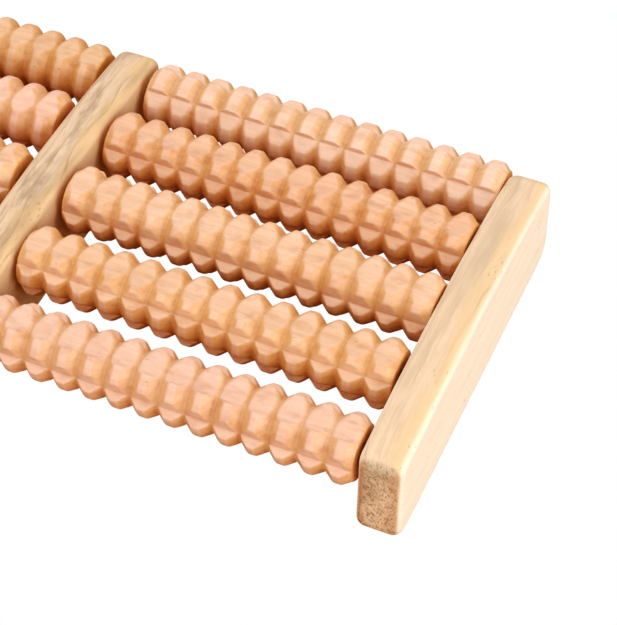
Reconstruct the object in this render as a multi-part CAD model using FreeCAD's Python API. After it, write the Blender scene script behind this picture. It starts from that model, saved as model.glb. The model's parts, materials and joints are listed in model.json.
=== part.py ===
import FreeCAD, Part
import math
import os
from FreeCAD import Vector

# Two-foot wooden massage roller: three arched rails, five rows of ringed and
# fluted rollers in each of two bays, and one steel axle rod per row.
# Millimetres. +X runs along the rollers, +Y from the front row to the back row, +Z up.
# Origin: on the ground, midway between the end rails and under the middle row.

# Rails. The outline is three arcs and a flat foot; its points are (y, z), before
# rounding, and run up the back end, over the crown and down the front end.
RAIL_THICKNESS = 13.2
RAIL_BACK_END = [(59.7, 0.0), (59.5, 14.0), (58.9, 30.8)]
RAIL_CROWN = (0.0, 34.0)
RAIL_FRONT_END = [(-60.8, 30.59), (-61.9, 14.0), (-62.6, 0.0)]
TOP_CORNER_R = 4.4        # rounding of the two top corners seen along X
FOOT_CORNER_R = 6.5       # rounding of the two bottom corners seen along X
RAIL_EDGE_R = 2.4         # rounding of the edges round both faces
CORNER_SPLIT_Z = 20.0     # top corners lie above this height, foot corners below
CENTRE_RAIL_DX = 1.6      # the centre rail stands this far to the right of the middle
CENTRE_RAIL_DY = 3.9      # and this far to the back of the end rails

# Rollers
RING_COUNT = 14
RING_PITCH = 8.3
ROLLER_LENGTH = RING_COUNT * RING_PITCH
CREST_R = 10.3            # radius over the rings
GROOVE_FLAT = 0.1         # width of the flat at the bottom of a groove between rings
RING_FOOT_HALF = (RING_PITCH - GROOVE_FLAT) / 2
# Ring shape: (half width of the flat crest, radius at the bottom of the grooves)
STANDARD_RINGS = (1.15, 7.85)
BROAD_RINGS = (1.65, 8.05)     # the back right roller only

# Bays and rows
BAY_WIDTH = 120.2         # between rails, with the centre rail taken as in the middle
ROW_PITCH = 26.6
AXLE_Z = [23.3, 25.7, 26.5, 25.7, 23.3]     # axle heights, front to back
ROW_COUNT = len(AXLE_Z)
AXLE_YZ = [((row - ROW_COUNT // 2) * ROW_PITCH, z) for row, z in enumerate(AXLE_Z)]
END_RAIL_INNER_X = RAIL_THICKNESS / 2 + BAY_WIDTH
END_RAIL_MID_X = END_RAIL_INNER_X + RAIL_THICKNESS / 2
BAY_MID_X = RAIL_THICKNESS / 2 + BAY_WIDTH / 2

# Axle rods
ROD_R = 2.0
ROD_CHAMFER = 0.4
ROD_IN_RAIL = 8.0                   # length of rod held in an end rail
ROLLER_BORE_R = ROD_R + 0.06        # running fit of a roller on its rod
RAIL_BORE_R = ROD_R + 0.01          # glued fit of a rod in a rail
BLIND_DEPTH = ROD_IN_RAIL + 0.6     # depth of the end rail's hole for the rod

# Cutting tools
OVERRUN = 1.0             # how far a tool runs past the face it cuts through
FLUTE_OVERREACH = 1.6     # least reach of a flute tool's sides beyond the crest
FLUTE_CAP_REACH = 6.0     # reach of its cap beyond the crest
FLUTE_SIDE_STEP = 0.02    # step in which a side is lengthened, as a share of its length

FLAT_TOLERANCE = 1e-4     # an edge with less X extent lies in a plane across X

# Rollers by row, front to back: (offset along X from the middle of the bay, flutes).
# A flute is a V cut the whole length of the roller:
# (tip angle on the crest, crease angle, crease radius, exit angle on the crest),
# with angles in degrees round the axle, from +Y towards +Z.
RIGHT_ROLLERS = [
    (0.95, [(63.0, 115.5, 8.75, 120.5), (151.5, 172.5, 8.30, 183.0),
            (214.7, 232.7, 8.22, 242.5), (274.4, 293.1, 8.33, 304.1),
            (336.9, 355.3, 8.24, 365.4), (395.5, 415.5, 8.35, 421.5)]),
    (0.95, [(64.0, 89.5, 8.30, 121.0), (133.0, 148.5, 8.20, 160.5),
            (184.0, 203.5, 8.30, 211.5), (246.3, 264.3, 8.35, 273.7),
            (307.4, 327.2, 8.23, 337.9), (368.3, 387.6, 8.34, 398.2)]),
    (1.70, [(66.0, 97.5, 8.30, 126.0), (145.0, 169.0, 8.30, 181.5),
            (214.0, 233.0, 8.30, 242.0), (271.9, 289.9, 8.31, 300.1),
            (327.0, 345.3, 8.21, 355.2), (382.4, 402.2, 8.25, 412.4)]),
    (1.45, [(65.0, 91.5, 8.35, 119.0), (137.5, 151.0, 8.40, 169.0),
            (190.0, 207.0, 8.30, 215.0), (249.8, 268.9, 8.34, 279.9),
            (310.5, 329.3, 8.27, 339.5), (371.2, 389.7, 8.21, 400.4)]),
    (1.90, [(126.0, 130.8, 8.65, 158.0), (190.0, 208.0, 8.25, 217.0),
            (243.0, 261.0, 8.23, 271.0), (296.0, 314.0, 8.24, 324.0),
            (350.4, 370.0, 8.29, 379.6), (413.1, 431.1, 8.24, 440.1)]),
]
LEFT_ROLLERS = [
    (0.90, [(91.3, 110.5, 8.25, 119.9), (150.5, 169.4, 8.31, 178.3),
            (210.7, 230.8, 8.35, 241.4), (270.5, 289.0, 8.32, 300.2),
            (329.8, 349.8, 8.33, 360.1), (391.3, 409.6, 8.22, 419.5)]),
    (1.10, [(121.7, 141.8, 8.20, 151.4), (182.9, 201.1, 8.26, 211.8),
            (243.5, 261.6, 8.27, 272.7), (303.5, 321.4, 8.23, 330.3),
            (364.2, 382.4, 8.28, 391.3), (421.3, 441.5, 8.28, 450.6)]),
    (1.40, [(81.8, 100.5, 8.28, 111.7), (140.7, 159.5, 8.27, 168.4),
            (199.6, 219.5, 8.28, 230.3), (252.7, 271.1, 8.23, 280.4),
            (301.6, 321.5, 8.21, 330.6), (349.7, 368.9, 8.26, 379.0)]),
    (1.40, [(80.0, 104.0, 8.35, 128.0), (184.0, 203.0, 8.30, 213.0),
            (229.2, 248.6, 8.32, 259.3), (272.6, 290.6, 8.34, 299.9),
            (313.2, 333.2, 8.31, 342.8), (352.5, 371.8, 8.28, 379.6)]),
    (1.70, [(64.0, 93.0, 8.30, 119.0), (183.0, 201.0, 8.30, 212.0),
            (229.9, 249.3, 8.35, 258.8), (273.9, 291.9, 8.35, 303.0),
            (315.4, 333.3, 8.22, 344.3), (355.5, 372.9, 8.23, 381.9)]),
]


def x_cylinder(x_start, length, radius, y=0.0, z=0.0):
    return Part.makeCylinder(radius, length, Vector(x_start, y, z), Vector(1, 0, 0))


def edges_across_x(solid):
    return [edge for edge in solid.Edges if edge.BoundBox.XLength < FLAT_TOLERANCE]


def rail_corners(solid, top):
    """Straight edges through the rail's thickness, either at the top or at the foot."""
    corners = []
    for edge in solid.Edges:
        ends = edge.Vertexes
        if len(ends) == 2 and abs(abs(ends[0].X - ends[1].X) - RAIL_THICKNESS) < 1e-6:
            if (ends[0].Z > CORNER_SPLIT_Z) == top:
                corners.append(edge)
    return corners


def make_rail(x_mid, y_shift=0.0):
    """Arched board: flat foot, slightly bulged ends, crowned top, all edges soft."""
    back = [Vector(0, *point) for point in RAIL_BACK_END]
    front = [Vector(0, *point) for point in RAIL_FRONT_END]
    outline = Part.Wire([
        Part.LineSegment(front[-1], back[0]).toShape(),
        Part.Arc(*back).toShape(),
        Part.Arc(back[-1], Vector(0, *RAIL_CROWN), front[0]).toShape(),
        Part.Arc(*front).toShape(),
    ])
    solid = Part.Face(outline).extrude(Vector(RAIL_THICKNESS, 0, 0))
    solid = solid.makeFillet(TOP_CORNER_R, rail_corners(solid, top=True))
    solid = solid.makeFillet(FOOT_CORNER_R, rail_corners(solid, top=False))
    solid = solid.makeFillet(RAIL_EDGE_R, edges_across_x(solid))
    solid.translate(Vector(x_mid - RAIL_THICKNESS / 2, y_shift, 0))
    return solid


def bore_rail(rail, x_start, length):
    """Cut the five axle holes."""
    for y, z in AXLE_YZ:
        rail = rail.cut(x_cylinder(x_start, length, RAIL_BORE_R, y, z))
    return rail


def make_rod(y, z):
    """Axle rod through both bays, chamfered at its ends."""
    half_length = END_RAIL_INNER_X + ROD_IN_RAIL
    rod = x_cylinder(-half_length, 2 * half_length, ROD_R, y, z)
    return rod.makeChamfer(ROD_CHAMFER, edges_across_x(rod))


def make_flute_cutter(tip_angle, crease_angle, crease_r, exit_angle):
    """Prism with a V section that is closed outside the crest by a pointed cap."""
    x_start = -ROLLER_LENGTH / 2 - OVERRUN

    def polar_point(radius, degrees):
        angle = math.radians(degrees)
        return Vector(x_start, radius * math.cos(angle), radius * math.sin(angle))

    crease = polar_point(crease_r, crease_angle)

    def extend_side(crest_point):
        """Lengthen the side from the crease until it is well outside the crest."""
        side = crest_point - crease
        stretch = 1.0
        end = crease + side
        while math.hypot(end.y, end.z) < CREST_R + FLUTE_OVERREACH:
            stretch += FLUTE_SIDE_STEP
            end = crease + side * stretch
        return end

    tip_end = extend_side(polar_point(CREST_R, tip_angle))
    exit_end = extend_side(polar_point(CREST_R, exit_angle))
    cap = polar_point(CREST_R + FLUTE_CAP_REACH, (tip_angle + exit_angle) / 2)
    section = Part.makePolygon([crease, exit_end, cap, tip_end, crease])
    return Part.Face(section).extrude(Vector(ROLLER_LENGTH + 2 * OVERRUN, 0, 0))


def make_roller(x_mid, y, z, flutes, rings):
    """Ringed roller with lengthwise V flutes and a through bore, axis along X."""
    crest_half, groove_r = rings
    x_start = -ROLLER_LENGTH / 2
    profile = [(x_start, 0), (x_start, groove_r)]
    for ring in range(RING_COUNT):
        ring_x = x_start + (ring + 0.5) * RING_PITCH
        profile += [
            (ring_x - RING_FOOT_HALF, groove_r),
            (ring_x - crest_half, CREST_R),
            (ring_x + crest_half, CREST_R),
            (ring_x + RING_FOOT_HALF, groove_r),
        ]
    profile += [(-x_start, groove_r), (-x_start, 0), (x_start, 0)]
    section = Part.Face(Part.makePolygon([Vector(x, r, 0) for x, r in profile]))
    body = section.revolve(Vector(0, 0, 0), Vector(1, 0, 0), 360)
    cutters = [make_flute_cutter(*flute) for flute in flutes]
    cutters.append(x_cylinder(x_start - OVERRUN, ROLLER_LENGTH + 2 * OVERRUN, ROLLER_BORE_R))
    body = body.cut(cutters).Solids[0]
    body.translate(Vector(x_mid, y, z))
    return body


def export_part(name, shape):
    shape.Solids[0].exportStep("parts/%s.step" % name)


os.makedirs("parts", exist_ok=True)

# The rods pass through the centre rail and end in blind holes in the end rails.
blind_length = BLIND_DEPTH + OVERRUN
export_part("left_end_rail", bore_rail(
    make_rail(-END_RAIL_MID_X), -END_RAIL_INNER_X - BLIND_DEPTH, blind_length))
export_part("centre_rail", bore_rail(
    make_rail(CENTRE_RAIL_DX, CENTRE_RAIL_DY), -RAIL_THICKNESS, 2 * RAIL_THICKNESS))
export_part("right_end_rail", bore_rail(
    make_rail(END_RAIL_MID_X), END_RAIL_INNER_X - OVERRUN, blind_length))

for row, (y, z) in enumerate(AXLE_YZ):
    number = row + 1
    export_part("axle_rod_%d" % number, make_rod(y, z))
    x_offset, flutes = RIGHT_ROLLERS[row]
    rings = BROAD_RINGS if number == ROW_COUNT else STANDARD_RINGS
    export_part("right_roller_%d" % number,
                make_roller(BAY_MID_X + x_offset, y, z, flutes, rings))
    x_offset, flutes = LEFT_ROLLERS[row]
    export_part("left_roller_%d" % number,
                make_roller(-BAY_MID_X + x_offset, y, z, flutes, STANDARD_RINGS))
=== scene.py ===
# A wooden roller massager that stands on the ground plane. Two banks of five ringed rollers
# turn on steel rods that run along X, between three crowned boards that lie along Y. The right
# bank is on the +X side, the front is -Y. Shapes are worked out in millimetres.
import json
import math
from functools import partial, reduce

import bpy
import numpy as np
from mathutils import Matrix, Vector


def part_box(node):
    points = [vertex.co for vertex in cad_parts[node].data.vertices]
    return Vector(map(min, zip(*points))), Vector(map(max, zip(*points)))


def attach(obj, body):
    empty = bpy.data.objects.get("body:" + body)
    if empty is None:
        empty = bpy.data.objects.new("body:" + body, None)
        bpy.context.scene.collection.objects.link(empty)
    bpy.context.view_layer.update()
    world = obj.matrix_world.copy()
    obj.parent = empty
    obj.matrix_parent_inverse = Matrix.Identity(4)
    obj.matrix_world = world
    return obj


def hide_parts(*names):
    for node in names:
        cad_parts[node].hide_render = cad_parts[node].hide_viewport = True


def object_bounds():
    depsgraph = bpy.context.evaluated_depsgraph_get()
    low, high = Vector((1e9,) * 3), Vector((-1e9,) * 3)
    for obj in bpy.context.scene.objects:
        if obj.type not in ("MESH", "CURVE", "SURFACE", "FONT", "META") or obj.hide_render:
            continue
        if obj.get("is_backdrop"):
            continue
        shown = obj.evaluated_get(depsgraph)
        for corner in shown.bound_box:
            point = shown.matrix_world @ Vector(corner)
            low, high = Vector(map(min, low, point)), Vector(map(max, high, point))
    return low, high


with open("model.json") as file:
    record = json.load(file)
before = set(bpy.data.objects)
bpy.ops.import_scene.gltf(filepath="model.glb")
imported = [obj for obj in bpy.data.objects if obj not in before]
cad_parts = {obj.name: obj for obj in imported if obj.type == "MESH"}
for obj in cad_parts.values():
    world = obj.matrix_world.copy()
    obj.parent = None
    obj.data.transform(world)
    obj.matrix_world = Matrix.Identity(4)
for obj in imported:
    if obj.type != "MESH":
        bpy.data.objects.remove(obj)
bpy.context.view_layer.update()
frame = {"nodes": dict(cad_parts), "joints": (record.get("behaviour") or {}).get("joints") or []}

nodes = frame["nodes"]
joints = {joint["child"]: joint for joint in frame["joints"]}
MM = 0.001


def new_mesh(name, verts, faces, smooth=True):
    mesh = bpy.data.meshes.new(name)
    mesh.from_pydata([tuple(v) for v in verts], [], [tuple(f) for f in faces])
    mesh.update()
    if smooth:
        mesh.polygons.foreach_set("use_smooth", [True] * len(mesh.polygons))
    obj = bpy.data.objects.new(name, mesh)
    bpy.context.scene.collection.objects.link(obj)
    return obj


def smooth_min(a, b, width):
    """Minimum that rounds the edge where two surfaces cross."""
    blend = np.maximum(width - np.abs(a - b), 0.0) / width
    return np.minimum(a, b) - blend * blend * width * 0.25


def smooth_max(a, b, width):
    blend = np.maximum(width - np.abs(a - b), 0.0) / width
    return np.maximum(a, b) + blend * blend * width * 0.25


def wave_noise(rng, x, wavelength):
    """Smooth repeatable noise along x: three octaves of three sines each."""
    out = np.zeros_like(x, dtype=float)
    for octave in range(3):
        for _ in range(3):
            freq = (2 ** octave) / wavelength * rng.uniform(0.6, 1.4)
            phase = rng.uniform(0, 2 * math.pi)
            out += 0.5 ** octave * np.sin(2 * math.pi * freq * x + phase) / 2.2
    return out


# ---------------------------------------------------------------------------
# Rollers: ringed along X, with six V flutes cut along each one
# ---------------------------------------------------------------------------
RINGS = 14
PITCH = 8.3                  # from ring to ring
LENGTH = RINGS * PITCH
CREST_R = 10.3
GROOVE_R = 7.80
CREST_HALF = 1.18            # half width of a ring's flat crest
FOOT_HALF = 4.15             # half width of a ring at its foot
BORE_R = 2.06
END_INSET = 0.45             # the ringed surface stops this far from each end
FAR_R = 30.0                 # stands for "no wall in this direction"

# Rollers with other rings: (half width of crest, groove radius)
BROAD_RINGS = {"right_roller_5": (1.70, 8.05)}

# Distances from a ring's middle, closest together at the crest's edge and the groove
RING_STATIONS = np.array([0.0, 0.5, 0.88, 1.04, 1.18, 1.34, 1.56, 1.95, 2.45, 2.95, 3.4, 3.75,
                          3.97, 4.08, 4.15])
# Degrees either side of a flute's crest edges, and of its crease
EDGE_STATIONS = (-1.3, -0.55, 0.0, 0.55, 1.3)
CREASE_STATIONS = (-1.3, -0.5, 0.0, 0.5, 1.3)
EDGE_SPAN = 1.3

# Flutes of rollers 1 to 5: (start angle, crease angle, crease radius, end angle).
# Angles are in degrees about the roller's axis, from +Y towards +Z.
FLUTES = {
    "right": [
        [(63.0, 115.5, 8.75, 120.5), (151.5, 172.5, 8.30, 183.0), (214.7, 232.7, 8.22, 242.5),
         (274.4, 293.1, 8.33, 304.1), (336.9, 355.3, 8.24, 365.4), (395.5, 415.5, 8.35, 421.5)],
        [(64.0, 89.5, 8.30, 121.0), (133.0, 148.5, 8.20, 160.5), (184.0, 203.5, 8.30, 211.5),
         (246.3, 264.3, 8.35, 273.7), (307.4, 327.2, 8.23, 337.9), (368.3, 387.6, 8.34, 398.2)],
        [(66.0, 97.5, 8.30, 126.0), (145.0, 169.0, 8.30, 181.5), (214.0, 233.0, 8.30, 242.0),
         (271.9, 289.9, 8.31, 300.1), (327.0, 345.3, 8.21, 355.2), (382.4, 402.2, 8.25, 412.4)],
        [(65.0, 91.5, 8.35, 119.0), (137.5, 151.0, 8.40, 169.0), (190.0, 207.0, 8.30, 215.0),
         (249.8, 268.9, 8.34, 279.9), (310.5, 329.3, 8.27, 339.5), (371.2, 389.7, 8.21, 400.4)],
        [(126.0, 130.8, 8.65, 158.0), (190.0, 208.0, 8.25, 217.0), (243.0, 261.0, 8.23, 271.0),
         (296.0, 314.0, 8.24, 324.0), (350.4, 370.0, 8.29, 379.6), (413.1, 431.1, 8.24, 440.1)],
    ],
    "left": [
        [(91.3, 110.5, 8.25, 119.9), (150.5, 169.4, 8.31, 178.3), (210.7, 230.8, 8.35, 241.4),
         (270.5, 289.0, 8.32, 300.2), (329.8, 349.8, 8.33, 360.1), (391.3, 409.6, 8.22, 419.5)],
        [(121.7, 141.8, 8.20, 151.4), (182.9, 201.1, 8.26, 211.8), (243.5, 261.6, 8.27, 272.7),
         (303.5, 321.4, 8.23, 330.3), (364.2, 382.4, 8.28, 391.3), (421.3, 441.5, 8.28, 450.6)],
        [(81.8, 100.5, 8.28, 111.7), (140.7, 159.5, 8.27, 168.4), (199.6, 219.5, 8.28, 230.3),
         (252.7, 271.1, 8.23, 280.4), (301.6, 321.5, 8.21, 330.6), (349.7, 368.9, 8.26, 379.0)],
        [(80.0, 104.0, 8.35, 128.0), (184.0, 203.0, 8.30, 213.0), (229.2, 248.6, 8.32, 259.3),
         (272.6, 290.6, 8.34, 299.9), (313.2, 333.2, 8.31, 342.8), (352.5, 371.8, 8.28, 379.6)],
        [(64.0, 93.0, 8.30, 119.0), (183.0, 201.0, 8.30, 212.0), (229.9, 249.3, 8.35, 258.8),
         (273.9, 291.9, 8.35, 303.0), (315.4, 333.3, 8.22, 344.3), (355.5, 372.9, 8.23, 381.9)],
    ],
}


def ring_profile(dist, crest_r, groove_r, crest_half):
    """Radius of the plain ringed roller at a distance from a ring's middle."""
    slope = (crest_r - groove_r) / (FOOT_HALF - crest_half)
    flank = crest_r - slope * (dist - crest_half)
    radius = smooth_min(crest_r, flank, width=0.42)
    return smooth_max(radius, groove_r + 0.06, width=0.28)


def flat_wall(theta, p, q):
    """Radius at angle theta of the flat wall through p and q, each (radius, angle)."""
    py, pz = p[0] * np.cos(p[1]), p[0] * np.sin(p[1])
    qy, qz = q[0] * np.cos(q[1]), q[0] * np.sin(q[1])
    ny, nz = qz - pz, -(qy - py)
    facing = ny * np.cos(theta) + nz * np.sin(theta)
    crosses = np.abs(facing) > 1e-6
    radius = (ny * py + nz * pz) / np.where(crosses, facing, 1.0)
    return np.where(crosses & (radius > 0) & (radius < FAR_R), radius, FAR_R)


def stations_along():
    """Places along the roller, and the index of the ring each one belongs to."""
    ring = np.concatenate([-RING_STATIONS[::-1], RING_STATIONS[1:]])
    # neighbouring rings share the station between them
    xs = np.concatenate([(k + 0.5) * PITCH + ring[(0 if k == 0 else 1):] for k in range(RINGS)])
    ring_of = np.clip((xs / PITCH - 1e-7).astype(int), 0, RINGS - 1)
    keep = (xs > END_INSET) & (xs < LENGTH - END_INSET)
    return xs[keep], ring_of[keep]


def stations_round(flutes):
    """Angles round the roller in degrees, close together at each flute's edges and crease."""
    angles = []
    next_starts = [flute[0] for flute in flutes[1:]] + [flutes[0][0] + 360.0]
    for (start, crease, _, end), next_start in zip(flutes, next_starts):
        angles += [start + d for d in EDGE_STATIONS]
        angles += [crease + d for d in CREASE_STATIONS]
        angles += [end + d for d in EDGE_STATIONS]
        angles += list(np.linspace(start + EDGE_SPAN, crease - EDGE_SPAN, 7)[1:-1])
        angles += list(np.linspace(crease + EDGE_SPAN, end - EDGE_SPAN, 6)[1:-1])
        gap = next_start - EDGE_SPAN - (end + EDGE_SPAN)
        if gap > 0.5:
            count = int(gap / 2.6) + 2
            angles += list(np.linspace(end + EDGE_SPAN, next_start - EDGE_SPAN, count)[1:-1])
    angles = np.array(sorted(set(round(v, 4) for v in angles)))
    angles = angles[np.concatenate([[True], np.diff(angles) > 0.2])]
    return angles[angles < angles[0] + 360.0 - 0.2]


def cut_flute(radius, theta, flute, deeper, turned):
    """Cut one flute; deeper (mm) and turned (degrees) vary it along the roller."""
    start, crease, crease_r, end = flute
    start, crease, end = (np.radians(v + turned)[:, None] for v in (start, crease, end))
    bottom = ((crease_r + deeper)[:, None], crease)
    reach = 0.16
    for turn in (-2 * math.pi, 0.0, 2 * math.pi):
        angle = theta + turn
        walls = smooth_max(flat_wall(angle, (CREST_R, start), bottom),
                           flat_wall(angle, bottom, (CREST_R, end)), width=0.16)
        near = (angle > start - reach) & (angle < end + reach)
        radius = smooth_min(radius, np.where(near, walls, FAR_R), width=0.34)
    return radius


def end_rows(rim):
    """Rows from inside the bore, over the end face, to the rim: (distance in, radii)."""
    bore = np.full_like(rim, BORE_R)
    return [(2.5, bore), (0.45, bore), (0.0, bore + 0.35), (0.0, rim * 0.55),
            (0.0, rim - 0.80), (0.02, rim - 0.52), (0.18, rim - 0.20)]


def build_roller(node, flutes, seed):
    rng = np.random.default_rng(seed)
    crest_half, groove_r = BROAD_RINGS.get(node, (CREST_HALF, GROOVE_R))
    lo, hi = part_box(node)
    start_x = (lo.x + hi.x) / 2 / MM - LENGTH / 2
    axis_y, axis_z = (v / MM for v in joints[node]["pos_m"][1:3])
    xs, ring_of = stations_along()
    theta = np.radians(stations_round(flutes))[None, :]
    count = theta.shape[1]

    # hand-turned unevenness: every ring and groove differs a little, fading out at the feet
    widen = crest_half + rng.normal(0, 0.07, RINGS)[ring_of] - crest_half
    centre = rng.normal(0, 0.07, RINGS)[ring_of]
    crest_r = CREST_R - np.abs(rng.normal(0, 0.03, RINGS))[ring_of]
    groove = groove_r + wave_noise(rng, xs, wavelength=34.0) * 0.10
    dist = xs - (ring_of + 0.5) * PITCH
    fade = np.clip((FOOT_HALF - np.abs(dist)) / 1.2, 0, 1)
    dist = np.abs(dist - centre * fade)
    profile = ring_profile(dist, crest_r, groove, crest_half + widen * fade)
    radius = profile[:, None] * np.ones((1, count))
    wander = wave_noise(rng, xs, wavelength=75.0) * 0.40
    for flute in flutes:
        # the depth changes slowly along the roller and jumps a little at each ring
        deeper = (wave_noise(rng, xs, wavelength=48.0) * 0.09
                  + rng.normal(0, 0.045, RINGS)[ring_of] * fade)
        turned = wave_noise(rng, xs, wavelength=60.0) * 0.35
        radius = cut_flute(radius, theta, flute, deeper, turned)
    theta = theta + np.radians(wander)[:, None]
    # slightly oval, except towards the bottoms of the cuts
    oval = 0.025 * np.cos(2 * theta + rng.uniform(0, 6.28))
    radius = radius + oval * np.clip((radius - 7.4) / 2.9, 0, 1)
    radius = np.minimum(radius, CREST_R + 0.02)

    # closed profile: bore, end face, outside, end face, bore
    rows = [(x, r, theta[0]) for x, r in end_rows(radius[0])]
    rows += list(zip(xs, radius, theta))
    rows += [(LENGTH - x, r, theta[-1]) for x, r in reversed(end_rows(radius[-1]))]
    x, r, t = (np.array(column) for column in zip(*rows))
    verts = np.stack(np.broadcast_arrays(x[:, None] + start_x, axis_y + r * np.cos(t),
                                         axis_z + r * np.sin(t)), -1).reshape(-1, 3) * MM
    i, j = np.meshgrid(np.arange(len(rows)), np.arange(count), indexing="ij")
    i_next, j_next = (i + 1) % len(rows), (j + 1) % count
    faces = np.stack([i * count + j, i * count + j_next,
                      i_next * count + j_next, i_next * count + j], -1).reshape(-1, 4)
    obj = new_mesh("turned_" + node, verts, faces)
    # depth below the crests: the material paints shade into the grooves by it
    depth = obj.data.attributes.new("depth", "FLOAT", "POINT")
    depth.data.foreach_set("value", np.clip((CREST_R - r) / 2.9, 0, 1).astype(np.float32).ravel())
    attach(obj, node)
    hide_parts(node)
    return obj


FIRST_SEED = {"right": 100, "left": 150}
rollers = {}
for side, bank in FLUTES.items():
    for i, flutes in enumerate(bank, 1):
        rollers[side, i] = build_roller("%s_roller_%d" % (side, i), flutes, FIRST_SEED[side] + i)

# ---------------------------------------------------------------------------
# Rails: boards with a crowned top and rounded edges, drilled for the rods
# ---------------------------------------------------------------------------
CROWN = 34.0                 # height at mid length
HALF_THICK = 6.6
EDGE_R = 2.4
MID_Z = 14.0                 # height at which an end's middle reach is taken
# Half outlines: reach and height of the crown's end, reach at MID_Z, reach at the foot,
# top corner radius, foot corner radius
BACK_END = (58.9, 30.8, 59.5, 59.7, 5.2, 7.6)
FRONT_END = (60.8, 30.59, 61.9, 62.6, 4.4, 6.0)
CENTRE_SHIFT_Y = 3.9         # the centre rail sits this far back
# The loops on a flat face close in on a spine along the middle of the board
SPINE_HALF = 42.5
SPINE_Z = 16.5
FACE_DEPTHS = (8.0, 5.8, 4.4)
FACE_START = 2.2
# Rod holes, in metres
DRILL_R = 0.00201
DRILL_SIDES = 64
HOLE_DEPTH = 0.0086          # blind holes in the end rails
OVERSHOOT = 0.004


def circle_through(p, q, r):
    """Centre and radius of the circle through three points."""
    (ax, ay), (bx, by), (cx, cy) = p, q, r
    a2, b2, c2 = ax * ax + ay * ay, bx * bx + by * by, cx * cx + cy * cy
    d = 2 * (ax * (by - cy) + bx * (cy - ay) + cx * (ay - by))
    x = (a2 * (by - cy) + b2 * (cy - ay) + c2 * (ay - by)) / d
    y = (a2 * (cx - bx) + b2 * (ax - cx) + c2 * (bx - ax)) / d
    return x, y, math.hypot(ax - x, ay - y)


def half_outline(shoulder, shoulder_z, middle, foot, top_r, foot_r):
    """From mid foot round one end to just short of the crown: (y, z, normal y, normal z)."""
    end_y, end_z, end_r = circle_through((foot, 0.0), (middle, MID_Z), (shoulder, shoulder_z))
    crown_y, crown_z, crown_r = circle_through((shoulder, shoulder_z), (0.0, CROWN),
                                               (-shoulder, shoulder_z))
    # centre of the foot corner: tangent to z = 0 and to the end arc
    foot_y = end_y + math.sqrt((end_r - foot_r) ** 2 - (foot_r - end_z) ** 2)
    # centre of the top corner: tangent to the end arc and to the crown
    r1, r2 = end_r - top_r, crown_r - top_r
    dy, dz = crown_y - end_y, crown_z - end_z
    apart = math.hypot(dy, dz)
    along = (r1 * r1 - r2 * r2 + apart * apart) / (2 * apart)
    off = math.sqrt(r1 * r1 - along * along)
    top_y = end_y + along * dy / apart - off * dz / apart
    top_z = end_z + along * dz / apart + off * dy / apart

    foot_turn = math.atan2(foot_r - end_z, foot_y - end_y)
    end_turn = math.atan2(top_z - end_z, top_y - end_y)
    top_turn = math.atan2(top_z - crown_z, top_y - crown_y)
    arcs = [  # centre y, centre z, radius, first angle, last angle, points
        (foot_y, foot_r, foot_r, -math.pi / 2, foot_turn, 14),
        (end_y, end_z, end_r, foot_turn, end_turn, 24),
        (top_y, top_z, top_r, end_turn, top_turn, 14),
        (crown_y, crown_z, crown_r, top_turn, math.pi / 2, 76),
    ]
    points = [(y, 0.0, 0.0, -1.0) for y in np.linspace(0, foot_y, 60, endpoint=False)]
    for cy, cz, r, first, last, count in arcs:
        for t in np.linspace(first, last, count, endpoint=False):
            ny, nz = math.cos(t), math.sin(t)
            points.append((cy + r * ny, cz + r * nz, ny, nz))
    return np.array(points)


def rail_outline():
    """Closed outline seen along X, from mid foot round by +Y."""
    back = half_outline(*BACK_END)
    front = half_outline(*FRONT_END)[1:][::-1] * np.array([-1, 1, -1, 1])
    return np.concatenate([back, [[0.0, CROWN, 0.0, 1.0]], front])


def loop_noise(rng, along, length, wavelength, spread):
    """Smooth noise that closes on itself round the outline."""
    out = np.zeros(len(along))
    for k in range(1, int(length / wavelength) + 1):
        size = rng.normal() / math.sqrt(k)
        out += size * np.cos(2 * math.pi * k * along / length + rng.uniform(0, 6.28))
    return spread * out / out.std()


def rail_loops(outline, rng):
    """Outline loops from inside the -X face, over the rim, to inside the +X face."""
    y, z, ny, nz = outline.T
    segment = np.hypot(*(np.roll(outline[:, :2], -1, 0) - outline[:, :2]).T)
    along = np.concatenate([[0], np.cumsum(segment)[:-1]])
    noise = partial(loop_noise, rng, along, segment.sum())
    bulge = np.clip(noise(wavelength=60.0, spread=0.05), -0.10, 0.04) * np.clip(z / 6.0, 0, 1)
    near_end = np.clip((np.abs(y) - 48.0) / 10.0, 0, 1)
    edge_r = [EDGE_R + 0.55 * near_end
              + np.clip(noise(wavelength=22.0, spread=0.16), -0.35, 0.45) for _ in range(2)]

    def rim_loop(x, inset):
        return x, y - ny * (inset - bulge), z - nz * (inset - bulge)

    def edge_loop(side, t):
        r = edge_r[side]
        sign = (-1.0, 1.0)[side]
        return rim_loop(sign * (HALF_THICK - r + r * math.cos(t)), r - r * math.sin(t))

    def flat_loop(t):
        first, last = -(HALF_THICK - edge_r[0]), HALF_THICK - edge_r[1]
        swell = 0.06 * math.sin(math.pi * t) * np.clip(nz, 0, 1)
        return rim_loop(first + (last - first) * t, -swell)

    def face_loop(x, depth):
        share = (depth - FACE_START) / 14.0
        start_y, start_z = y - ny * FACE_START, z - nz * FACE_START
        spine_y = np.clip(y, -SPINE_HALF, SPINE_HALF)
        return (np.full(len(y), x), start_y + (spine_y - start_y) * share,
                start_z + (SPINE_Z - start_z) * share)

    return ([face_loop(-HALF_THICK, depth) for depth in FACE_DEPTHS]
            + [edge_loop(0, t) for t in np.linspace(0, math.pi / 2, 10)]
            + [flat_loop(t) for t in np.linspace(0, 1, 11)[1:-1]]
            + [edge_loop(1, t) for t in np.linspace(math.pi / 2, 0, 10)]
            + [face_loop(HALF_THICK, depth) for depth in FACE_DEPTHS[::-1]])


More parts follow.
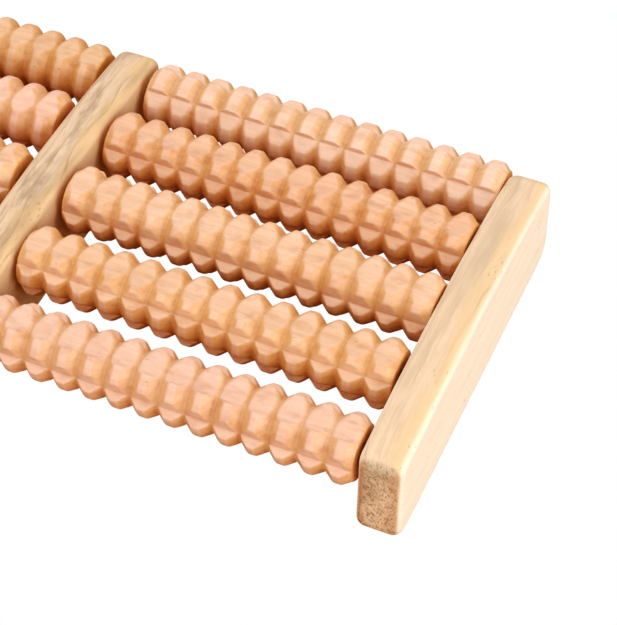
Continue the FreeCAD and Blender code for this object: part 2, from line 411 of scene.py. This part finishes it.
def ladder(chain, reach):
    """Faces between the lower and upper part of a chain of points, from its ends inward."""
    faces = []
    low, high = 0, len(chain) - 1
    while high - low > 1:
        if high - low == 2:
            faces.append((chain[low], chain[low + 1], chain[high]))
            break
        # advance whichever end lags behind in Y, or both
        low_y, high_y = reach[chain[low + 1]], reach[chain[high - 1]]
        if abs(low_y - high_y) < 1.6:
            faces.append((chain[low], chain[low + 1], chain[high - 1], chain[high]))
            low += 1
            high -= 1
        elif low_y < high_y:
            faces.append((chain[low], chain[low + 1], chain[high]))
            low += 1
        else:
            faces.append((chain[low], chain[high - 1], chain[high]))
            high -= 1
    return faces


def rail_faces(loop_count, outline):
    n = len(outline)
    reach = np.abs(outline[:, 0])
    faces = [(i * n + j, i * n + (j + 1) % n, (i + 1) * n + (j + 1) % n, (i + 1) * n + j)
             for i in range(loop_count - 1) for j in range(n)]
    back = list(range(n // 2 + 1))
    front = [0] + list(range(n - 1, n // 2 - 1, -1))
    last = (loop_count - 1) * n
    for base, chain, flip in ((0, back, True), (0, front, False),
                              (last, back, False), (last, front, True)):
        for face in ladder(chain, reach):
            face = tuple(base + v for v in face)
            faces.append(face[::-1] if flip else face)
    return faces


def drill(board, x_lo, x_hi, y, z):
    """Cut a hole along X whose flats lie DRILL_R from its axis."""
    k = DRILL_SIDES
    r = DRILL_R / math.cos(math.pi / k)
    angles = np.arange(k) * 2 * math.pi / k
    verts = [(x, y + r * math.cos(t), z + r * math.sin(t)) for x in (x_lo, x_hi) for t in angles]
    faces = [(j, (j + 1) % k, k + (j + 1) % k, k + j) for j in range(k)]
    faces += [tuple(range(k))[::-1], tuple(range(k, 2 * k))]
    cutter = new_mesh("drill", verts, faces, smooth=False)
    cut = board.modifiers.new("drill", "BOOLEAN")
    cut.operation = "DIFFERENCE"
    cut.solver = "EXACT"
    cut.object = cutter
    depsgraph = bpy.context.evaluated_depsgraph_get()
    drilled = bpy.data.meshes.new_from_object(board.evaluated_get(depsgraph))
    board.modifiers.clear()
    undrilled = board.data
    board.data = drilled
    bpy.data.meshes.remove(undrilled)
    bpy.data.objects.remove(cutter)


def build_rail(node, seed):
    lo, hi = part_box(node)
    mid_x = (lo.x + hi.x) / 2 / MM
    shift_y = CENTRE_SHIFT_Y if node == "centre_rail" else 0.0
    outline = rail_outline()
    loops = rail_loops(outline, np.random.default_rng(seed))
    verts = np.concatenate([np.stack([x + mid_x, y + shift_y, z], -1) for x, y, z in loops])
    name = "board_" + node
    obj = new_mesh(name, verts * MM, rail_faces(len(loops), outline))
    # holes go through the centre rail and part way into the end rails
    x_lo, x_hi = lo.x - OVERSHOOT, hi.x + OVERSHOOT
    if node == "right_end_rail":
        x_hi = lo.x + HOLE_DEPTH
    elif node == "left_end_rail":
        x_lo = hi.x - HOLE_DEPTH
    for i in range(1, 6):
        rod_lo, rod_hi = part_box("axle_rod_%d" % i)
        drill(obj, x_lo, x_hi, (rod_lo.y + rod_hi.y) / 2, (rod_lo.z + rod_hi.z) / 2)
    obj.data.name = name
    obj.data.polygons.foreach_set("use_smooth", [True] * len(obj.data.polygons))
    obj.data.set_sharp_from_angle(angle=math.radians(38))
    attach(obj, "frame")
    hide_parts(node)
    return obj


RAIL_SEEDS = {"left_end_rail": 31, "centre_rail": 32, "right_end_rail": 33}
rails = {node: build_rail(node, seed) for node, seed in RAIL_SEEDS.items()}

# ---------------------------------------------------------------------------
# Materials
# ---------------------------------------------------------------------------
TO_MM = (1000, 1000, 1000)
NONE = (0, 0, 0)


def srgb(*levels):
    """Linear colour from 0-255 levels."""
    def linear(c):
        c /= 255.0
        return c / 12.92 if c <= 0.04045 else ((c + 0.055) / 1.055) ** 2.4
    return (*map(linear, levels), 1.0)


class Shader:
    """A material with a Principled surface, and short ways to add its nodes."""

    def __init__(self, name):
        self.material = bpy.data.materials.new(name)
        self.material.use_nodes = True
        self.tree = self.material.node_tree
        self.tree.nodes.clear()
        self.output = self.add("ShaderNodeOutputMaterial")
        self.surface = self.add("ShaderNodeBsdfPrincipled")
        self.put(self.output.inputs[0], self.surface.outputs[0])

    def put(self, socket, value):
        """Link a socket or set a constant."""
        if isinstance(value, bpy.types.NodeSocket):
            self.tree.links.new(value, socket)
        else:
            socket.default_value = value

    def add(self, kind, inputs=None, **settings):
        node = self.tree.nodes.new(kind)
        for key, value in settings.items():
            setattr(node, key, value)
        for key, value in (inputs or {}).items():
            self.put(node.inputs[key], value)
        return node

    def math(self, operation, *values):
        inputs = dict(enumerate(values))
        return self.add("ShaderNodeMath", inputs, operation=operation).outputs[0]

    def total(self, *terms):
        return reduce(partial(self.math, "ADD"), terms)

    def product(self, *factors):
        return reduce(partial(self.math, "MULTIPLY"), factors)

    def split(self, vector):
        return self.add("ShaderNodeSeparateXYZ", {0: vector}).outputs

    def mapping(self, vector, loc=NONE, rot=NONE, scale=(1, 1, 1)):
        return self.add("ShaderNodeMapping", {"Vector": vector, "Location": loc,
                                              "Rotation": rot, "Scale": scale}).outputs[0]

    def noise(self, vector, scale, detail, rough=0.5, rot=NONE):
        vector = self.mapping(vector, rot=rot, scale=scale)
        return self.add("ShaderNodeTexNoise", {"Vector": vector, "Scale": 1.0, "Detail": detail,
                                               "Roughness": rough}).outputs["Fac"]

    def cells(self, vector, scale, rot=NONE):
        """Distance to the nearest of many scattered points."""
        vector = self.mapping(vector, rot=rot, scale=scale)
        return self.add("ShaderNodeTexVoronoi",
                        {"Vector": vector, "Scale": 1.0}).outputs["Distance"]

    def remap(self, value, over, to=(0.0, 1.0)):
        inputs = dict(enumerate((value, *over, *to)))
        return self.add("ShaderNodeMapRange", inputs, clamp=True).outputs[0]

    def peak(self, value, start, top, end):
        """Rises from start to top, then falls back to zero at end."""
        return self.product(self.remap(value, over=(start, top)),
                            self.remap(value, over=(top, end), to=(1, 0)))

    def mix(self, mask, under, over, mode="MIX"):
        return self.add("ShaderNodeMix", {"Factor": mask, 6: under, 7: over}, data_type="RGBA",
                        blend_type=mode, clamp_factor=True).outputs[2]

    def tint(self, under, over, mask, amount):
        return self.mix(self.product(mask, amount), under, over)

    def finish(self, inputs, height, strength, distance):
        """Set the surface's inputs and give it a bump."""
        bump = self.add("ShaderNodeBump", {"Strength": strength, "Distance": distance,
                                           "Height": height})
        for key, value in {**inputs, "Normal": bump.outputs[0]}.items():
            self.put(self.surface.inputs[key], value)
        return self.material


def random_place(rng):
    return tuple(float(v) for v in rng.uniform(-200, 200, 3))


def roller_wood(name, seed, axis_y, axis_z, base, dark, pale, flank_stain_and_shade):
    """Satin-varnished turned hardwood: grain runs along X."""
    rng = np.random.default_rng(seed)
    m = Shader(name)
    coords = m.add("ShaderNodeTexCoord").outputs
    # millimetres from the roller's axis
    point = m.mapping(coords["Object"], loc=(0.0, -1000 * axis_y, -1000 * axis_z), scale=TO_MM)
    place = m.mapping(point, loc=random_place(rng))
    # growth rings round a pith line well off the roller's axis, tilted a little
    angle = rng.uniform(0, 2 * math.pi)
    away = rng.uniform(18, 40)
    tilt = (rng.uniform(-0.03, 0.03), rng.uniform(-0.05, 0.05), rng.uniform(-0.05, 0.05))
    pith = m.split(m.mapping(point, loc=(0, away * math.cos(angle), away * math.sin(angle)),
                             rot=tilt))
    warp = m.noise(place, scale=(0.02, 0.09, 0.09), detail=2.0)
    pith_dist = m.math("SQRT", m.total(m.product(pith[1], pith[1]), m.product(pith[2], pith[2])))
    ring_width = 2.6
    rings = m.math("FRACT", m.math("DIVIDE", m.total(pith_dist, m.product(warp, 7.0)), ring_width))
    late = m.peak(rings, start=0.55, top=0.97, end=1.0)
    # streaks along the grain and softer patches
    fibre = m.noise(place, scale=(0.06, 1.15, 1.15), detail=5.0, rough=0.60)
    fine = m.noise(place, scale=(0.28, 6.5, 6.5), detail=3.0, rough=0.6)
    blotch = m.noise(place, scale=(0.06, 0.16, 0.16), detail=3.0, rough=0.55)
    patch = m.noise(place, scale=(0.16, 0.30, 0.30), detail=2.0)
    colour = m.mix(m.remap(blotch, over=(0.32, 0.68)), base, pale)
    colour = m.tint(colour, dark, m.remap(fibre, over=(0.44, 0.74)), amount=0.20)
    colour = m.tint(colour, dark, late, amount=0.18)
    colour = m.tint(colour, dark, m.remap(fine, over=(0.54, 0.82)), amount=0.12)
    colour = m.tint(colour, dark, m.remap(patch, over=(0.50, 0.72)), amount=0.50)
    # ring flanks cut across the fibres, so they drink more stain; this darkening also stands in
    # for the shade down in the V grooves, and the groove bottoms are darkened by depth as painted
    # shade
    facing_x = m.math("ABSOLUTE", m.split(coords["Normal"])[0])
    slope = m.remap(facing_x, over=(0.18, 0.68))
    depth = m.add("ShaderNodeAttribute", attribute_name="depth").outputs["Fac"]
    bottom = m.remap(depth, over=(0.55, 1.0))
    stain = m.math("MINIMUM", m.total(m.product(slope, 0.85 * flank_stain_and_shade),
                                      m.product(bottom, 0.45)), 1.0)
    uneven = m.noise(place, scale=(1.3, 1.3, 1.3), detail=3.0, rough=0.6)
    stain = m.product(stain, m.remap(uneven, over=(0.25, 0.75), to=(0.75, 1.15)))
    # darken flanks and groove bottoms: real stain on the flanks plus painted groove shade
    colour = m.mix(stain, colour, m.mix(1.0, colour, srgb(243, 226, 184), "MULTIPLY"))
    # tiny dark specks, gathered in places
    speck = m.remap(m.cells(place, scale=(0.22, 0.55, 0.55)), over=(0.05, 0.12), to=(1, 0))
    gate = m.remap(m.noise(place, scale=(0.2, 0.3, 0.3), detail=1.0), over=(0.56, 0.62))
    colour = m.tint(colour, srgb(120, 62, 34), m.product(speck, gate), amount=0.5)
    wavy = m.noise(place, scale=(0.34, 0.40, 0.40), detail=2.0)
    height = m.total(m.product(fibre, 0.5), m.product(fine, 0.3), m.product(wavy, 3.2))
    return m.finish({"Base Color": colour,
                     "Roughness": m.remap(fibre, over=(0.3, 0.75), to=(0.36, 0.54)),
                     "Coat Weight": 0.26, "Coat Roughness": 0.27, "Specular IOR Level": 0.40},
                    height, strength=0.35, distance=0.00012)


def end_grain(m, place, x, z, tone):
    """Short dashes slanting across the board over cloudy patches: (colour, dashes)."""
    slant = (0, 0.62, 0)
    wobble = m.noise(place, scale=(0.22, 0.02, 0.22), detail=2.0, rough=0.6)
    shift = m.add("ShaderNodeCombineXYZ", {0: m.product(wobble, 5.0), 2: m.product(wobble, -3.0)})
    bent = m.add("ShaderNodeVectorMath", {0: place, 1: shift.outputs[0]},
                 operation="ADD").outputs[0]
    dashes = m.remap(m.cells(bent, scale=(2.3, 0.1, 0.85), rot=slant),
                     over=(0.18, 0.58), to=(1, 0))
    gate = m.noise(bent, scale=(0.85, 0.02, 0.24), detail=4.0, rough=0.7, rot=slant)
    dashes = m.product(dashes, m.remap(gate, over=(0.34, 0.50)))
    streaks = m.noise(bent, scale=(1.5, 0.05, 0.40), detail=5.0, rough=0.7, rot=slant)
    patch = m.noise(place, scale=(0.13, 0.02, 0.13), detail=3.0, rough=0.6)
    colour = m.mix(m.remap(streaks, over=(0.36, 0.66)), tone,
                   m.mix(0.6, tone, srgb(244, 214, 182)))
    # grey towards -X and the top, browner along both sides and the foot
    grey_at = m.total(m.product(x, -0.035), m.product(z, 0.016))
    grey = m.remap(m.total(patch, grey_at), over=(0.72, 0.92))
    colour = m.tint(colour, srgb(184, 162, 134), grey, amount=0.75)
    right_edge = m.remap(m.total(x, m.product(patch, 4.0)), over=(4.2, 7.4))
    colour = m.tint(colour, srgb(166, 116, 78), right_edge, amount=0.6)
    left_edge = m.remap(m.math("SUBTRACT", x, m.product(patch, 3.0)),
                        over=(-7.2, -5.0), to=(1, 0))
    colour = m.tint(colour, srgb(206, 140, 84), left_edge, amount=0.6)
    colour = m.tint(colour, srgb(122, 84, 54), dashes, amount=0.74)
    low = m.remap(m.total(z, m.product(streaks, 6.0)), over=(2.6, 5.0), to=(1, 0))
    return m.tint(colour, srgb(122, 82, 52), low, amount=0.7), dashes


def rail_wood(name, seed, mid_x, figure, base, streak, grey, amber, lit_side_tone, end_tone):
    """Pale straight-grained board: grain runs along Y, darker end grain on the ends."""
    rng = np.random.default_rng(seed)
    m = Shader(name)
    coords = m.add("ShaderNodeTexCoord").outputs
    # the shift is in millimetres, so x is measured from the board's middle
    point = m.mapping(coords["Object"], loc=(-mid_x, 0, 0), scale=TO_MM)
    place = m.mapping(point, loc=random_place(rng))
    x, _, z = m.split(point)
    normal = m.split(coords["Normal"])
    # growth bands: nearly flat sheets tilted across the board, waving slowly along it
    warp = m.noise(place, scale=(0.03, 0.010, 0.03), detail=3.0)
    ripple = m.noise(place, scale=(0.10, 0.03, 0.10), detail=2.0)
    sheet = m.total(m.total(m.product(x, 1.0), m.product(z, 0.55)),
                    m.total(m.product(warp, 22.0), m.product(ripple, 5.0)))
    band_width = 4.2
    rings = m.math("FRACT", m.math("DIVIDE", sheet, band_width))
    late = m.peak(rings, start=0.35, top=0.92, end=1.0)
    fibre = m.noise(place, scale=(1.1, 0.030, 1.1), detail=5.0, rough=0.65)
    fine = m.noise(place, scale=(4.5, 0.13, 4.5), detail=3.0, rough=0.6)
    blotch = m.noise(place, scale=(0.11, 0.020, 0.11), detail=3.0, rough=0.55)
    cloud = m.noise(place, scale=(0.05, 0.035, 0.05), detail=3.0, rough=0.6)
    colour = m.tint(base, streak, late, amount=0.30)
    colour = m.tint(colour, streak, m.remap(fibre, over=(0.45, 0.72)), amount=0.55)
    # amber band along the +X half
    band = m.total(x, m.product(m.math("SUBTRACT", cloud, 0.5), 16.0))
    colour = m.tint(colour, amber, m.remap(band, over=(0.0, 3.5)), amount=0.75)
    colour = m.tint(colour, grey, m.remap(blotch, over=(0.50, 0.70)), amount=0.60)
    colour = m.tint(colour, grey, m.remap(fine, over=(0.56, 0.80)), amount=0.35)
    # thin dark figure lines, broken up along the board
    line = m.peak(rings, start=0.84, top=0.93, end=0.99)
    gate = m.remap(m.noise(place, scale=(0.16, 0.028, 0.16), detail=3.0, rough=0.65),
                   over=(0.44, 0.60))
    colour = m.tint(colour, srgb(122, 94, 66), m.product(line, gate), amount=figure)
    # grey smudges near mid thickness
    smudge = m.noise(place, scale=(0.24, 0.050, 0.24), detail=4.0, rough=0.68)
    middle = m.remap(m.math("ABSOLUTE", m.total(x, 1.6)), over=(2.0, 6.0), to=(1, 0))
    smudge = m.product(m.remap(smudge, over=(0.46, 0.62)), middle)
    colour = m.tint(colour, grey, smudge, amount=figure)
    # painted light: the flat sides are made paler, as light falling from the side makes them
    on_side = m.remap(m.math("ABSOLUTE", normal[0]), over=(0.45, 0.95))
    painted_side_light = m.tint(lit_side_tone, streak, m.remap(fibre, over=(0.42, 0.75)), amount=0.32)
    colour = m.tint(colour, painted_side_light, on_side, amount=0.85)
    # short dark pores lying along the grain, in patches
    pores = m.remap(m.cells(place, scale=(1.25, 0.26, 1.25), rot=(0, 0, 0.05)),
                    over=(0.10, 0.22), to=(1, 0))
    where = m.noise(place, scale=(0.13, 0.045, 0.13), detail=2.0, rough=0.6)
    pores = m.product(pores, m.remap(where, over=(0.54, 0.66)))
    colour = m.tint(colour, srgb(118, 92, 66), pores, amount=0.55)
    on_end = m.remap(m.math("ABSOLUTE", normal[1]), over=(0.60, 0.84))
    end_colour, dashes = end_grain(m, place, x, z, end_tone)
    pits = m.math("MAXIMUM", m.product(dashes, on_end), pores)
    height = m.math("SUBTRACT", m.total(m.product(fibre, 0.7), m.product(fine, 0.4)),
                    m.product(pits, 0.8))
    return m.finish({"Base Color": m.mix(on_end, colour, end_colour),
                     "Roughness": m.remap(fibre, over=(0.3, 0.75), to=(0.44, 0.62)),
                     "Coat Weight": 0.10, "Coat Roughness": 0.35},
                    height, strength=0.4, distance=0.00014)


def steel_darkened_as_shade(name):
    """Brownish steel with fine lines along X, kept dark and brown as painted shade, so the rods
    read as the deep shade in the gaps at the roller ends.
    """
    m = Shader(name)
    point = m.mapping(m.add("ShaderNodeTexCoord").outputs["Object"], scale=TO_MM)
    lines = m.noise(point, scale=(0.05, 9, 9), detail=4.0, rough=0.6)
    patch = m.noise(point, scale=(0.4, 0.4, 0.4), detail=3.0, rough=0.6)
    colour = m.mix(m.remap(lines, over=(0.3, 0.7)), (0.22, 0.11, 0.07, 1), (0.33, 0.20, 0.14, 1))
    colour = m.tint(colour, (0.20, 0.08, 0.04, 1), m.remap(patch, over=(0.55, 0.75)), amount=0.5)
    return m.finish({"Base Color": colour, "Metallic": 0.6,
                     "Roughness": m.remap(lines, over=(0.3, 0.7), to=(0.26, 0.42))},
                    lines, strength=0.2, distance=0.00003)


def paint(obj, material):
    slots = obj.data.materials
    if slots:
        for i in range(len(slots)):
            slots[i] = material
    else:
        slots.append(material)


# Rollers 1 to 5: base, dark streaks, pale blotches
ROLLER_TONES = {
    "right": [((229, 181, 152), (204, 144, 108), (236, 191, 165)),
              ((228, 178, 140), (200, 140, 98), (235, 190, 156)),
              ((230, 181, 144), (202, 144, 104), (238, 194, 162)),
              ((227, 173, 136), (196, 132, 94), (234, 186, 152)),
              ((234, 190, 160), (210, 156, 120), (241, 202, 176))],
    "left": [((231, 184, 150), (204, 146, 108), (238, 196, 166)),
             ((229, 180, 144), (202, 142, 102), (237, 192, 160)),
             ((232, 184, 150), (205, 148, 110), (240, 198, 168)),
             ((231, 178, 150), (204, 144, 112), (239, 194, 168)),
             ((224, 174, 132), (194, 136, 92), (232, 186, 148))],
}
# rollers 2 and 4 get more flank darkening, which is partly painted groove shade
for (side, i), obj in rollers.items():
    _, axis_y, axis_z = joints["%s_roller_%d" % (side, i)]["pos_m"]
    tones = [srgb(*tone) for tone in ROLLER_TONES[side][i - 1]]
    paint(obj, roller_wood("roller_wood_%s_%d" % (side, i), 7 * i + (3 if side == "left" else 0),
                           axis_y, axis_z, *tones, flank_stain_and_shade=1.15 if i in (2, 4) else 1.0))

# Seed, strength of the figure, then: base, streak, grey stain, amber band, flat sides (painted
# paler as lit from the side), end grain
RAIL_TONES = {
    "right_end_rail": (5, 0.26, (234, 202, 168), (210, 168, 128), (192, 164, 132),
                       (232, 194, 144), (255, 248, 230), (222, 186, 150)),
    "centre_rail": (9, 0.58, (228, 194, 160), (194, 152, 112), (144, 118, 92),
                    (226, 182, 126), (230, 196, 158), (216, 178, 140)),
    "left_end_rail": (13, 0.55, (234, 202, 168), (210, 168, 128), (184, 156, 128),
                      (226, 190, 150), (248, 234, 214), (218, 180, 142)),
}
for node, (seed, figure, *tones) in RAIL_TONES.items():
    lo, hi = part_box(node)
    wood = rail_wood("rail_wood_" + node.split("_")[0], seed, (lo.x + hi.x) / 2 / MM, figure,
                     *(srgb(*tone) for tone in tones))
    paint(rails[node], wood)
    paint(nodes[node], wood)

# the rods show only in the shaded gaps; their dark brown stands in for that shade
steel = steel_darkened_as_shade("axle_steel")
for i in range(1, 6):
    paint(nodes["axle_rod_%d" % i], steel)

# ---------------------------------------------------------------------------
# Stage: floor, light, camera
# ---------------------------------------------------------------------------


def floor_paper(name):
    """Plain white to the camera, matt brown to every other ray."""
    m = Shader(name)
    m.put(m.surface.inputs["Base Color"], (0.34, 0.17, 0.06, 1))
    m.put(m.surface.inputs["Roughness"], 0.9)
    glow = m.add("ShaderNodeEmission", {"Color": (1, 1, 1, 1), "Strength": 1.0})
    seen = m.add("ShaderNodeLightPath").outputs["Is Camera Ray"]
    pick = m.add("ShaderNodeMixShader", {0: seen, 1: m.surface.outputs[0], 2: glow.outputs[0]})
    m.put(m.output.inputs[0], pick.outputs[0])
    return m.material


floor = new_mesh("stage_floor", [(-6, -6, 0), (6, -6, 0), (6, 6, 0), (-6, 6, 0)],
                 [(0, 1, 2, 3)], smooth=False)
floor.location.z = -0.0002
paint(floor, floor_paper("stage_floor_paper"))
floor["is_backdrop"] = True

scene = bpy.context.scene
world = bpy.data.worlds.new("studio")
scene.world = world
world.use_nodes = True
background = world.node_tree.nodes["Background"]
background.inputs["Color"].default_value = (1.0, 1.0, 1.0, 1)
background.inputs["Strength"].default_value = 1.0


def area_light(name, loc, target, size, power):
    light = bpy.data.lights.new(name, "AREA")
    light.shape = "RECTANGLE"
    light.size, light.size_y = size
    light.energy = power
    light.color = (1, 1, 1)
    obj = bpy.data.objects.new(name, light)
    scene.collection.objects.link(obj)
    obj.location = loc
    obj.rotation_euler = (Vector(target) - Vector(loc)).to_track_quat("-Z", "Y").to_euler()


area_light("top_softbox", loc=(-0.35, -0.15, 1.25), target=(0.02, 0, 0.02),
           size=(1.0, 1.0), power=2.5)
area_light("right_fill", loc=(1.2, -0.35, 0.30), target=(0.1, 0, 0.02),
           size=(0.7, 0.7), power=7.0)
area_light("front_fill", loc=(0.25, -1.15, 0.10), target=(0.07, -0.06, 0.015),
           size=(0.9, 0.18), power=1.7)

# Camera: azimuth from -Y towards +X, elevation and roll; places in metres
azimuth, elevation, roll = (math.radians(v) for v in (23.89, 47.77, -0.36))
DISTANCE, SHIFT_RIGHT, SHIFT_UP = 0.6680587, 0.07933887, -0.01982787
AIM = (-0.00035, 0, 0)
back = np.array([math.sin(azimuth) * math.cos(elevation),
                 -math.cos(azimuth) * math.cos(elevation), math.sin(elevation)])
level = np.array([math.cos(azimuth), math.sin(azimuth), 0.0])
upright = np.cross(back, level)
right = math.cos(roll) * level + math.sin(roll) * upright
up = -math.sin(roll) * level + math.cos(roll) * upright
eye = back * DISTANCE + right * SHIFT_RIGHT + up * SHIFT_UP + np.array(AIM)
lens = bpy.data.cameras.new("camera")
lens.sensor_width = 36.0
lens.sensor_fit = "AUTO"
lens.lens = 124.950528
lens.clip_start = 0.05
lens.clip_end = 50
camera = bpy.data.objects.new("camera", lens)
scene.collection.objects.link(camera)
camera.matrix_world = Matrix((*zip(right, up, back, eye), (0, 0, 0, 1)))
scene.camera = camera

# A gentle print curve: shadows a little deeper, lights untouched.
# (channel: 3 is all, then red, green, blue; points as (input, output))
PRINT_CURVES = (
    (3, ((0.02, 0.010), (0.06, 0.038), (0.12, 0.090), (0.22, 0.190), (0.35, 0.335),
         (0.55, 0.548), (0.8, 0.8))),
    (0, ((0.06, 0.066), (0.15, 0.170), (0.30, 0.335), (0.50, 0.520), (0.8, 0.8))),
    (1, ((0.02, 0.014), (0.06, 0.050), (0.12, 0.108), (0.25, 0.243), (0.8, 0.8))),
    (2, ((0.02, 0.010), (0.05, 0.032), (0.10, 0.085), (0.20, 0.195), (0.8, 0.8))),
)
view = scene.view_settings
view.view_transform = "Standard"
view.look = "None"
view.exposure = 0.0
view.use_curve_mapping = True
for channel, points in PRINT_CURVES:
    for level_in, level_out in points:
        view.curve_mapping.curves[channel].points.new(level_in, level_out)
view.curve_mapping.update()
scene.cycles.use_denoising = True

lo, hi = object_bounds()
